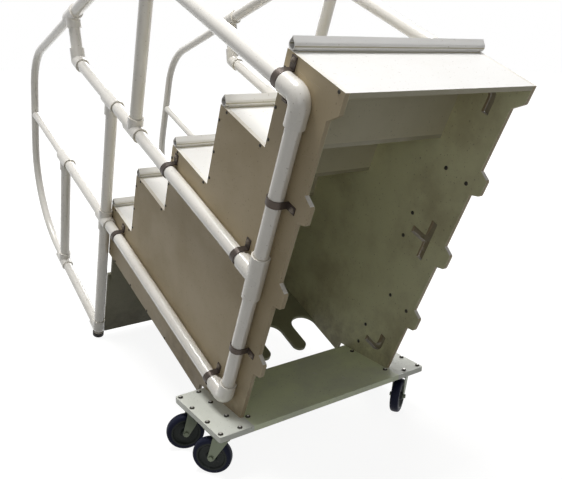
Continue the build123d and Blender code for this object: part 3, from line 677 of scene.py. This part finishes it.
RIM, CROWN, HALF_TYRE = 0.0495, 0.0635, 0.0160
WHEEL_SIDES = 96


def tyre_section():
    """Closed section of a tyre: out from the rim as a squared ellipse, (rim + depth cos^0.5 t,
    half width sin^0.7 t), as t goes from one side to the other."""
    t = np.linspace(-math.pi / 2, math.pi / 2, 29)
    radius = RIM + (CROWN - RIM) * np.abs(np.cos(t)) ** 0.5
    out = HALF_TYRE * np.sign(np.sin(t)) * np.abs(np.sin(t)) ** 0.7
    return np.stack([radius, out], axis=1)


def hub_section():
    """Closed section of a hub: boss, thin middle and rim with rounded lips, mirrored."""
    lower = np.array([(0.0051, -0.0195), (0.0132, -0.0195), (0.0147, -0.0184),
                      (0.0158, -0.0110), (0.0185, -0.0072), (0.0230, -0.0058),
                      (0.0330, -0.0058), (0.0385, -0.0070), (0.0425, -0.0100),
                      (0.0440, -0.0145), (0.0452, -0.0157), (0.0470, -0.0161),
                      (0.0494, -0.0158)])
    return np.concatenate([lower, lower[::-1] * (1, -1)])


for joint in frame["joints"]:
    if not joint["name"].startswith("roll_"):
        continue
    place = joint["name"].removeprefix("roll_")
    for kind, section, slot, material in (("tyre", tyre_section(), "tyre_rubber", TYRE),
                                          ("hub", hub_section(), "hub_plastic", HUB)):
        wheel = copies(turned_ring(section, WHEEL_SIDES), joint["pos_m"],
                       frames_for(joint["axis"], 1))
        piece = add_mesh(f"{kind}_{place}", *wheel, "wheel_" + place, slot, material)
        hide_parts(f"wheel_{kind}_{place}")

# Bolts of the casters through the cart plate, with washers
CART_LOW, CART_HIGH = (np.array(corner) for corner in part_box("cart_plate"))
KINGPIN_IN_X, KINGPIN_IN_Y = 0.046, 0.058     # in from the cart plate's edges
BOLT_SPREAD_X, BOLT_SPREAD_Y = 0.034, 0.041   # from the kingpin to its bolts
TOP_PLATE = 0.004                             # thickness of a caster's top plate
BOLT_FLATS, BOLT_HEAD, HEAD_CROWN = 0.0127, 0.004, 0.005
FOOT_BOLT_X = 0.293                           # bolts beside the panels' feet
caster_axes = [(x, y) for x in (CART_LOW[0] + KINGPIN_IN_X, CART_HIGH[0] - KINGPIN_IN_X)
               for y in (CART_LOW[1] + KINGPIN_IN_Y, CART_HIGH[1] - KINGPIN_IN_Y)]
cart_spots = np.array([(x + i * BOLT_SPREAD_X, y + j * BOLT_SPREAD_Y, CART_HIGH[2])
                       for x, y in caster_axes for i in (-1, 1) for j in (-1, 1)])
foot_spots = np.array([(x, y, CART_HIGH[2]) for x in (-FOOT_BOLT_X, FOOT_BOLT_X)
                       for _, y in caster_axes[:2]])
top_spots = np.concatenate([cart_spots, foot_spots])
CART_NUT, CART_STUD = nut(across_flats=0.0120, height=0.0042, stud=0.0040,
                          stud_height=0.0062)
add_mesh("cart_nuts", *copies(CART_NUT, top_spots, frames_for(UP, len(top_spots))),
         "stairs", "plated_steel", DARK_SCREW)
add_mesh("cart_studs", *copies(CART_STUD, top_spots, frames_for(UP, len(top_spots))),
         "stairs", "plated_steel", BRIGHT)
under = cart_spots.copy()
under[:, 2] = CART_LOW[2] - TOP_PLATE
HEX_HEAD = lathe([(hexagon(BOLT_FLATS), 0.0), (hexagon(BOLT_FLATS), BOLT_HEAD),
                  (hexagon(BOLT_FLATS) * 0.85, HEAD_CROWN), (0, HEAD_CROWN)], 6)
add_mesh("cart_bolt_heads", *copies(HEX_HEAD, under, frames_for(-UP, len(under))),
         "stairs", "plated_steel", ZINC)

# Screws through the toe plate: a row across near its top, and a column down each side
PLATE_SCREW = pan_head(radius=0.0060, height=0.0032)
ROW_X, ROW_UP = (-0.290, -0.10, 0.10, 0.290), -1.36
COLUMN_X, COLUMN_UP = (-0.298, 0.298), (-1.42, -1.50, -1.58, -1.65)
toe_places = np.array([(x, ROW_UP) for x in ROW_X]
                      + [(x, up) for x in COLUMN_X for up in COLUMN_UP])
TOE_FRONT = FRONT_POST + SHEET / 2
front_spots = on_stairs(toe_places[:, 0], TOE_FRONT, toe_places[:, 1])
add_mesh("toe_plate_screws",
         *copies(PLATE_SCREW, front_spots, frames_for(FORWARD, len(front_spots))),
         "stairs", "plated_steel", BRIGHT)


# Floor, light and camera

WHITE = (1.0, 1.0, 1.0, 1.0)
FLOOR_REACH = 30.0
FLOOR_COLOUR = (0.20, 0.20, 0.19)
# What the camera and reflections see on top of the lit floor, and how far from its middle
NEAR_GLOW, FAR_GLOW = 0.90, 1.0
NEAR_REACH, FAR_REACH = 1.6, 4.5


def stage_material(name, colour):
    """Plain floor that shows white to the camera and in reflections, and keeps its shadow."""
    material = bpy.data.materials.new(name)
    material.use_nodes = True
    tree = material.node_tree
    shader = tree.nodes["Principled BSDF"]
    shader.inputs["Base Color"].default_value = (*colour, 1.0)
    shader.inputs["Roughness"].default_value = 0.9
    shader.inputs["Specular IOR Level"].default_value = 0.1
    glow = tree.nodes.new("ShaderNodeEmission")
    glow.inputs["Color"].default_value = WHITE
    place = tree.nodes.new("ShaderNodeTexCoord").outputs["Object"]
    far = ramp(tree, vector_node(tree, "LENGTH", place), NEAR_REACH, FAR_REACH,
               NEAR_GLOW, FAR_GLOW)
    seen = seen_by(tree, "Is Camera Ray", "Is Glossy Ray")
    tree.links.new(math_node(tree, "MULTIPLY", seen, far), glow.inputs["Strength"])
    both = tree.nodes.new("ShaderNodeAddShader")
    tree.links.new(shader.outputs[0], both.inputs[0])
    tree.links.new(glow.outputs[0], both.inputs[1])
    tree.links.new(both.outputs[0], tree.nodes["Material Output"].inputs["Surface"])
    return material


floor_mesh = bpy.data.meshes.new("floor")
floor_mesh.from_pydata([(-FLOOR_REACH, -FLOOR_REACH, 0), (FLOOR_REACH, -FLOOR_REACH, 0),
                        (FLOOR_REACH, FLOOR_REACH, 0), (-FLOOR_REACH, FLOOR_REACH, 0)],
                       [], [(0, 1, 2, 3)])
floor = bpy.data.objects.new("floor", floor_mesh)
floor_mesh.materials.append(stage_material("floor_white", FLOOR_COLOUR))
bpy.context.scene.collection.objects.link(floor)

AMBIENT = 0.20                # strength of the room's light; the camera sees it as white
world = bpy.data.worlds.new("room")
bpy.context.scene.world = world
world.use_nodes = True
room = world.node_tree
background = room.nodes["Background"]
background.inputs["Color"].default_value = WHITE
seen = seen_by(room, "Is Camera Ray", "Is Glossy Ray", "Is Transmission Ray")
room.links.new(ramp(room, seen, 0.0, 1.0, AMBIENT, 1.0), background.inputs["Strength"])


def area_light(name, place, aim, size, power):
    """Square soft lamp at a place, facing a point."""
    lamp = bpy.data.lights.new(name, "AREA")
    lamp.size = size
    lamp.energy = power
    obj = bpy.data.objects.new(name, lamp)
    bpy.context.scene.collection.objects.link(obj)
    obj.location = place
    obj.rotation_mode = "QUATERNION"
    obj.rotation_quaternion = (Vector(aim) - Vector(place)).to_track_quat("-Z", "Y")


area_light("roof_light", (-0.6, -0.2, 6.2), (0.0, -0.2, 0.8), size=2.4, power=330.0)
area_light("front_light", (3.6, 4.4, 3.2), (0.0, 0.0, 0.8), size=3.0, power=120.0)
area_light("rear_fill", (-3.0, -5.0, 2.6), (0.0, -0.5, 0.7), size=3.0, power=20.0)

# Camera: place and directions worked out from the photograph's straight edges
PICTURE_WIDTH = 562           # pixels, as is the focal length
FOCAL_PIXELS = 653.0
SHIFT_UP = 0.14
CAMERA_PLACE = np.array([-1.2284, -1.0832, 0.0919]) + TOP_EDGE
LOOK = Vector((0.52790, 0.75576, -0.38748)).normalized()
RIGHT = Vector((0.82250, -0.56865, 0.01145)).normalized()
camera_data = bpy.data.cameras.new("camera")
camera_data.lens = FOCAL_PIXELS / PICTURE_WIDTH * camera_data.sensor_width
camera_data.shift_y = SHIFT_UP
camera = bpy.data.objects.new("camera", camera_data)
bpy.context.scene.collection.objects.link(camera)
camera_axes = Matrix((RIGHT, RIGHT.cross(LOOK), -LOOK)).transposed()
camera.matrix_world = Matrix.Translation(Vector(CAMERA_PLACE)) @ camera_axes.to_4x4()
bpy.context.scene.camera = camera

bpy.context.scene.view_settings.view_transform = "Standard"
